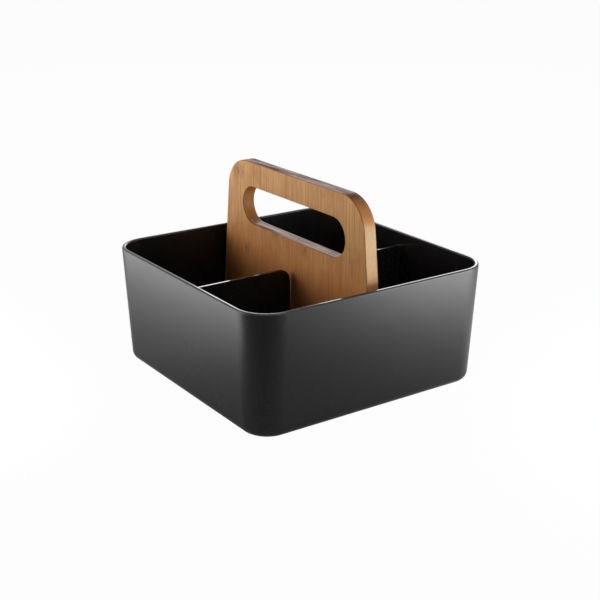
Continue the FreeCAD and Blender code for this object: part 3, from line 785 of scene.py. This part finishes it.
def grown_piece(name, tree, sizes):
    """Runs a tree with its sizes and keeps the result as a plain mesh."""
    seed = bpy.data.objects.new(name + "_seed", bpy.data.meshes.new(name + "_seed"))
    scene.collection.objects.link(seed)
    growth = seed.modifiers.new("growth", "NODES")
    growth.node_group = tree
    for item in tree.interface.items_tree:
        if item.in_out == "INPUT":
            growth[item.identifier] = sizes[item.name]
    evaluated = seed.evaluated_get(bpy.context.evaluated_depsgraph_get())
    mesh = bpy.data.meshes.new_from_object(evaluated)
    mesh.name = name
    bpy.data.objects.remove(seed)
    return bpy.data.objects.new(name, mesh)


# ---------------------------------------------------------------- pieces

def shade_evenly(piece):
    """Smooth shading: large faces stay flat, rounds turn the light, and corners stay sharp."""
    for polygon in piece.data.polygons:
        polygon.use_smooth = True
    piece.data.set_sharp_from_angle(angle=SHARP_ANGLE)
    weighted = piece.modifiers.new("even_faces", "WEIGHTED_NORMAL")
    weighted.weight = 100
    weighted.keep_sharp = True


def finish_piece(piece, slot, material, *nodes):
    """Gives a piece its shading, finish and body, and hides the CAD nodes that it stands for."""
    piece.data.materials.clear()
    piece.data.materials.append(material)
    scene.collection.objects.link(piece)
    shade_evenly(piece)
    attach(piece, "root")
    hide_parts(*nodes)


def inner_wall(tree, sizes, level):
    """How far the tray's inner faces stand from its middle, at a level."""
    times, less, _ = arithmetic(tree)
    fallen = times(less(sizes["Height"], level), sizes["Lean"])
    return less(less(sizes["Rim Half"], sizes["Wall"]), fallen)


def tray_shell(tree, sizes):
    """The floor and the walls: a section carried round a rounded square, and the middle of the floor."""
    times, less, plus = arithmetic(tree)
    rim_half, corner, height = sizes["Rim Half"], sizes["Rim Corner"], sizes["Height"]
    floor, wall, rim_round = sizes["Floor"], sizes["Wall"], sizes["Rim Round"]

    # The section starts just outside the corners' centres, so that it can't fold.
    margin = 1.0 * MM
    core = less(plus(less(rim_half, corner), margin), rim_half)
    top = times(height, -1.0)
    floor_top = times(floor, -1.0)
    floor_end = less(inner_wall(tree, sizes, floor), rim_half)
    foot_end = times(times(height, sizes["Lean"]), -1.0)
    section = [(core, floor_top, 0.0), (floor_end, floor_top, less(sizes["Base Round"], wall)),
               (times(wall, -1.0), top, rim_round), (0.0, plus(top, sizes["Rim Fall"]), rim_round),
               (foot_end, 0.0, sizes["Base Round"]), (core, 0.0, 0.0)]
    path = rounded_square(tree, rim_half, corner, pieces=18)
    skin = swept(tree, path, rounded_run(tree, section, pieces=7, closed=False))
    mid_floor = times(floor, 0.5)
    inner_face = capped(tree, skin, floor, mid_floor, low_side=False)
    outer_face = capped(tree, skin, 0.0, mid_floor, low_side=True)
    return joined(tree, skin, inner_face, outer_face)


def half_divider(tree, sizes, shape):
    """The divider at the near wall, thicker towards its foot, with a round corner at its free end."""
    times, less, plus = arithmetic(tree)
    root = less(sizes["Floor"], BITE)
    crest = less(sizes["Height"], sizes["Divider Drop"])
    free_end = plus(times(sizes["Board Thickness"], 0.5), sizes["Divider Gap"])
    root_end = plus(inner_wall(tree, sizes, root), BITE)
    crest_end = plus(inner_wall(tree, sizes, crest), BITE)
    outline = rounded_run(tree, [(free_end, root, 0.0), (root_end, root, 0.0), (crest_end, crest, 0.0),
                                 (free_end, crest, sizes["Divider Corner"])], pieces=12, closed=True)
    thick = sizes["Divider Thickness"]
    slab = plate(tree, shape, outline, thick, sizes["Divider Ease"], sizes["Divider Crown"])
    upright = placed(tree, slab, turn=(QUARTER_TURN, 0.0, -QUARTER_TURN))
    x, y, z = own_place(tree)
    spread = times(less(crest, z), sizes["Divider Lean"])
    widen = plus(1.0, sum_of(tree, "DIVIDE", spread, times(thick, 0.5)))
    return moved(tree, upright, spot_at(tree, times(x, widen), y, z))


def root_flares(tree, sizes, shape):
    """The flares on both sides of the near divider where it meets the wall, leaned to fit them."""
    times, less, plus = arithmetic(tree)
    flare = sizes["Divider Root"]
    web = rounded_run(tree, [(-BITE, -BITE, 0.0), (flare, -BITE, 0.0), (flare, 0.0, 0.0), (0.0, 0.0, flare),
                             (0.0, flare, 0.0), (-BITE, flare, 0.0)], pieces=8, closed=True)
    rise = less(less(sizes["Height"], sizes["Divider Drop"]), sizes["Floor"])
    half_rise = times(rise, 0.5)
    middle = plus(sizes["Floor"], half_rise)
    x, y, z = own_place(tree)
    off_divider = less(times(sizes["Divider Thickness"], 0.5),
                       times(less(z, half_rise), sizes["Divider Lean"]))
    off_wall = plus(inner_wall(tree, sizes, middle), times(z, sizes["Lean"]))
    leaned = moved(tree, plate(tree, shape, web, rise, ease=0.0),
                   spot_at(tree, plus(x, off_divider), less(y, off_wall), plus(z, middle)))
    mirrored = placed(tree, leaned, scale=(-1.0, 1.0, 1.0))
    return leaned, step(tree, "FlipFaces", Mesh=mirrored).outputs["Mesh"]


def board_channel(tree, sizes, shape):
    """What the board's foot stands in: two ribs from wall to wall, with a raised seat between them."""
    times, less, plus = arithmetic(tree)
    inside = plus(times(sizes["Board Thickness"], 0.5), sizes["Board Face Gap"])
    outside = plus(inside, sizes["Channel Rib"])
    left_inside = times(inside, -1.0)
    left_outside = times(outside, -1.0)
    root = less(sizes["Floor"], BITE)
    seat = plus(sizes["Floor"], sizes["Channel Seat"])
    top = plus(sizes["Floor"], sizes["Channel Height"])
    rounding = sizes["Channel Round"]
    ribs = rounded_run(tree, [(left_outside, root, 0.0), (outside, root, 0.0), (outside, top, rounding),
                              (inside, top, rounding), (inside, seat, 0.0), (left_inside, seat, 0.0),
                              (left_inside, top, rounding), (left_outside, top, rounding)],
                       pieces=4, closed=True)
    length = times(plus(inner_wall(tree, sizes, root), BITE), 2.0)
    return placed(tree, plate(tree, shape, ribs, length, ease=0.0), turn=(QUARTER_TURN, 0.0, QUARTER_TURN))


def underside_cuts(tree, sizes, shape):
    """What is taken out of the underside: a shallow hollow, the seats of the feet, the screw holes."""
    times, less, plus = arithmetic(tree)
    hollow_outline = rounded_square(tree, sizes["Hollow Half"], sizes["Hollow Corner"], pieces=10)
    hollow = plate(tree, shape, hollow_outline, times(sizes["Hollow Depth"], 2.0), ease=0.0)
    seat_hole = step(tree, "MeshCylinder", Vertices=HOLE_SIDES, Radius=sizes["Foot Seat"],
                     Depth=times(sizes["Foot Sink"], 2.0)).outputs["Mesh"]
    seats = copies_at(tree, foot_spots(tree, sizes["Foot Offset"]), seat_hole)
    sink = plus(sizes["Screw Head"], sizes["Screw Head Room"])
    bore = plus(sizes["Screw Shank"], sizes["Screw Shank Room"])
    cone = step(tree, "MeshCone", Vertices=HOLE_SIDES, Radius_Top=bore, Radius_Bottom=sink,
                Depth=less(sink, bore)).outputs["Mesh"]
    seated_cone = placed(tree, cone, spot=spot_at(tree, 0.0, 0.0, sizes["Hollow Depth"]))
    shaft = step(tree, "MeshCylinder", Vertices=HOLE_SIDES, Radius=bore,
                 Depth=times(sizes["Height"], 0.5)).outputs["Mesh"]
    screw_places = screw_spots(tree, sizes["Screw Offset"], 0.0)
    return hollow, seats, copies_at(tree, screw_places, fused(tree, seated_cone, shaft))


def make_tray_shape(shape, material):
    """The moulding: its shell, two half dividers with flared roots, the board's channel, the underside."""
    tree, sizes = new_shape("moulded_tray", *[(name, "Float") for name in TRAY_SIZES])
    near = [half_divider(tree, sizes, shape), *root_flares(tree, sizes, shape)]
    far = [placed(tree, one, turn=(0.0, 0.0, math.pi)) for one in near]
    solid = fused(tree, tray_shell(tree, sizes), near[0], far[0], board_channel(tree, sizes, shape),
                  *near[1:], *far[1:])
    open_solid = cut_away(tree, solid, *underside_cuts(tree, sizes, shape))
    lifted = placed(tree, open_solid, spot=spot_at(tree, 0.0, 0.0, sizes["Foot Proud"]))
    finish_tree(tree, lifted, material)
    return tree


def make_tray_piece(shape, material):
    """The moulded tray as one skin."""
    piece = grown_piece("moulded_tray", make_tray_shape(shape, material), TRAY_SIZES)
    finish_piece(piece, "black_plastic", material, "tray")


def rounded_loop(corners, bend=math.radians(5)):
    """A closed outline with rounded corners, as (point, outward normal) pairs, run anticlockwise."""
    loop = []
    count = len(corners)
    for index, (x, z, radius) in enumerate(corners):
        here = Vector((x, z))
        before = Vector(corners[index - 1][:2])
        after = Vector(corners[(index + 1) % count][:2])
        arriving = (here - before).normalized()
        leaving = (after - here).normalized()
        turn = arriving.angle_signed(leaving) * -1
        setback = radius * math.tan(abs(turn) / 2)
        start = here - arriving * setback
        normal = Vector((arriving.y, -arriving.x))
        centre = start - normal * radius
        pieces = max(2, math.ceil(abs(turn) / bend))
        for part in range(pieces + 1):
            angle = turn * part / pieces
            out = Vector((normal.x * math.cos(angle) - normal.y * math.sin(angle),
                          normal.x * math.sin(angle) + normal.y * math.cos(angle)))
            loop.append((centre + out * radius, out))
    return loop


def eased_wall(skin, loop, outward, half, ease, steps=5):
    """The rounded edge, flat side and rounded edge of a board all round a loop. Gives both end rings."""
    rings = []
    turns = [(-1, QUARTER_TURN * part / steps) for part in range(steps + 1)]
    turns += [(1, QUARTER_TURN * (1 - part / steps)) for part in range(steps + 1)]
    for side, angle in turns:
        inset = ease * (1 - math.sin(angle))
        depth = side * (half - ease + ease * math.cos(angle))
        rings.append([skin.verts.new((p.x - outward * n.x * inset, depth, p.y - outward * n.y * inset))
                      for p, n in loop])
    for first, second in zip(rings, rings[1:]):
        for index in range(len(loop)):
            following = (index + 1) % len(loop)
            skin.faces.new((first[index], first[following], second[following], second[index]))
    return rings[0], rings[-1]


def board_outline():
    """The board's outline: it follows the walls' lean up to its shoulders, then runs in to its top."""
    foot = BOARD_LOW[2]
    top = BOARD_HIGH[2]
    shoulder = foot + BOARD_SHOULDER
    floor_half = RIM_HALF - WALL - (TRAY_TOP - INNER_FLOOR) * WALL_LEAN
    foot_half = floor_half + (foot - INNER_FLOOR) * WALL_LEAN - BOARD_SIDE_GAP
    shoulder_half = floor_half + (shoulder - INNER_FLOOR) * WALL_LEAN - BOARD_SIDE_GAP
    right = [(foot_half, foot, BOARD_FOOT_CORNER), (shoulder_half, shoulder, BOARD_SHOULDER_CORNER),
             (BOARD_TOP_HALF, top, BOARD_TOP_CORNER)]
    left = [(-x, z, radius) for x, z, radius in reversed(right)]
    return rounded_loop(right + left)


def grip_outline():
    """The hand hole's outline: straight, with round ends."""
    half = GRIP_LENGTH / 2
    top = BOARD_HIGH[2] - GRIP_BAND
    low = top - GRIP_HEIGHT
    end = GRIP_HEIGHT / 2 * GRIP_ROUNDNESS
    return rounded_loop([(half, low, end), (half, top, end), (-half, top, end), (-half, low, end)])


def make_board_piece(material):
    """The carrying board, cut to its outline, with its hand hole and all its edges eased."""
    skin = bmesh.new()
    half = BOARD_THICK / 2
    outer_rings = eased_wall(skin, board_outline(), 1, half, BOARD_EASE)
    hole_rings = eased_wall(skin, grip_outline(), -1, half, BOARD_EASE)
    for outer, hole in zip(outer_rings, hole_rings):
        flat = [[(v.co.x, v.co.z, 0.0) for v in ring] for ring in (outer, hole)]
        corners = outer + hole
        for a, b, c in tessellate_polygon(flat):
            skin.faces.new((corners[a], corners[b], corners[c]))
    bmesh.ops.remove_doubles(skin, verts=skin.verts, dist=0.001 * MM)
    bmesh.ops.recalc_face_normals(skin, faces=skin.faces)
    mesh = bpy.data.meshes.new("carrying_board")
    skin.to_mesh(mesh)
    skin.free()
    finish_piece(bpy.data.objects.new("carrying_board", mesh), "bamboo", material, "handle_board")


def make_feet_piece(shape, material):
    """Four soft discs with rounded rims, at the corners of a square grid."""
    tree, sizes = new_shape("soft_feet", *[(name, "Float") for name in FOOT_SIZES])
    thick = sizes["Thickness"]
    outline = step(tree, "CurvePrimitiveCircle", {"mode": "RADIUS"}, Resolution=56,
                   Radius=sizes["Radius"]).outputs["Curve"]
    disc = plate(tree, shape, outline, thick, sizes["Ease"])
    discs = copies_at(tree, foot_spots(tree, sizes["Offset"]), disc)
    lift = spot_at(tree, 0.0, 0.0, sum_of(tree, "DIVIDE", thick, 2.0))
    finish_tree(tree, placed(tree, discs, spot=lift), material)
    piece = grown_piece("soft_feet", tree, FOOT_SIZES)
    finish_piece(piece, "foot_rubber", material, *[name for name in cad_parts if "foot_" in name])


def make_screw_piece(material):
    """Two countersunk wood screws: a turned head and shank, a wound thread, a cross recess."""
    tree, sizes = new_shape("board_screws", *[(name, "Float") for name in SCREW_SIZES])
    times, less, plus = arithmetic(tree)
    head, shank, core = sizes["Head"], sizes["Shank"], sizes["Core"]
    length, tip, land, plain = sizes["Length"], sizes["Tip"], sizes["Land"], sizes["Plain Shank"]
    head_round = sizes["Head Round"]

    # The turned blank: how far out each corner is, its level above the head's face, its rounding.
    neck = plus(land, less(head, shank))
    thread_end = less(length, tip)
    thread_start = plus(plain, less(shank, core))
    profile = [(0.0, length, 0.0), (core, thread_end, 0.0), (core, thread_start, 0.0), (shank, plain, 0.0),
               (shank, neck, 0.0), (head, land, head_round), (head, 0.0, head_round), (0.0, 0.0, 0.0)]
    path = step(tree, "CurvePrimitiveCircle", {"mode": "RADIUS"}, Resolution=40, Radius=head).outputs["Curve"]
    corners = [(less(reach, head), times(level, -1.0), rounding) for reach, level, rounding in profile]
    blank = joined(tree, swept(tree, path, rounded_run(tree, corners, pieces=3, closed=False)))
    drive = sizes["Drive Length"], sizes["Drive Width"], times(sizes["Drive Depth"], 2.0)
    arm = step(tree, "MeshCube", Size=spot_at(tree, *drive)).outputs["Mesh"]
    recessed = cut_away(tree, blank, arm, placed(tree, arm, turn=(0.0, 0.0, QUARTER_TURN)))

    # The thread: a wedge wound round the core.
    winding = step(tree, "CurveSpiral", Resolution=22, Rotations=sizes["Turns"], Start_Radius=core,
                   End_Radius=core, Height=less(thread_end, thread_start)).outputs["Curve"]
    wedge = step(tree, "CurvePrimitiveCircle", {"mode": "RADIUS"}, Resolution=3,
                 Radius=less(shank, core)).outputs["Curve"]
    thread = step(tree, "CurveToMesh", Curve=winding, Profile_Curve=wedge, Fill_Caps=True).outputs["Mesh"]
    both = step(tree, "JoinGeometry")
    tree.links.new(placed(tree, thread, spot=spot_at(tree, 0.0, 0.0, thread_start)), both.inputs["Geometry"])
    tree.links.new(recessed, both.inputs["Geometry"])
    places = screw_spots(tree, sizes["Offset"], sizes["Seat"])
    finish_tree(tree, copies_at(tree, places, both.outputs["Geometry"]), material)
    piece = grown_piece("board_screws", tree, SCREW_SIZES)
    finish_piece(piece, "screw_steel", material, *[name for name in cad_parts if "screw" in name])


place_camera()
light_studio()
lay_floor()
handling = make_handling_group()
edges = make_edge_group()
black_plastic = make_black_plastic(handling)
bamboo = make_bamboo(handling, edges)
steel = make_screw_steel(handling)
rubber = make_foot_rubber(handling)
plate_shape = make_plate_shape()
make_tray_piece(plate_shape, black_plastic)
make_board_piece(bamboo)
make_screw_piece(steel)
make_feet_piece(plate_shape, rubber)

scene.view_settings.view_transform = "Standard"
